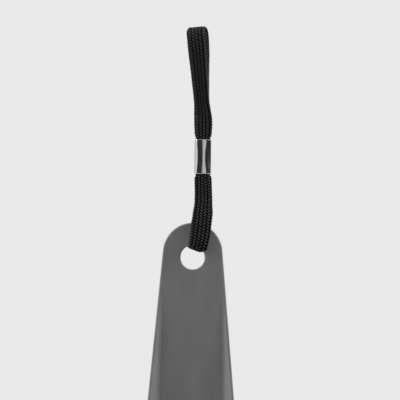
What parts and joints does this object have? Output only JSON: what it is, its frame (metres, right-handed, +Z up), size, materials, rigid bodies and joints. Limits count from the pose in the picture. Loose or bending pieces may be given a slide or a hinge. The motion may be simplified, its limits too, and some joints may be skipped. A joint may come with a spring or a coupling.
{
  "type": "long shoehorn",
  "caption": "Long moulded plastic shoehorn with a flared channel shank and a rounded blade, hung from a flat braided cord doubled through its end hole and clamped by a metal ferrule.",
  "frame": {"origin": "inside top of the cord's upper loop, where a hook carries the hanging shoehorn", "axes": "+Z up; the shoehorn hangs towards -Z with its hollow, heel side facing -Y and its width along X"},
  "size_m": [0.046, 0.0359, 0.681],
  "materials": {
    "horn_plastic": "satin",
    "cord_braid": "matt braid",
    "ferrule_metal": "polished"
  },
  "bodies": {
    "hanging_loop": {"cord_upper_loop": "cord_braid", "cord_bend_above_ferrule": "cord_braid"},
    "clamp": {"ferrule": "ferrule_metal", "cord_in_ferrule": "cord_braid", "cord_bend_below_ferrule": "cord_braid"},
    "lower_loop": {"cord_lower_loop": "cord_braid"},
    "horn": {"shoehorn": "horn_plastic"}
  },
  "joints": [
    {"name": "upper_loop_bend", "type": "hinge", "parent": "hanging_loop", "child": "clamp", "pos_m": [0.0037, 0, -0.0399], "axis": [1, 0, 0], "range_deg": [-75, 75], "deforming": ["cord_bend_above_ferrule"]},
    {"name": "lower_loop_bend", "type": "hinge", "parent": "clamp", "child": "lower_loop", "pos_m": [0.0037, 0, -0.0621], "axis": [1, 0, 0], "range_deg": [-75, 75], "deforming": ["cord_bend_below_ferrule"]},
    {"name": "horn_swing", "type": "hinge", "parent": "lower_loop", "child": "horn", "pos_m": [0, 0, -0.0926], "axis": [0, 1, 0], "range_deg": [-105, 105]}
  ]
}
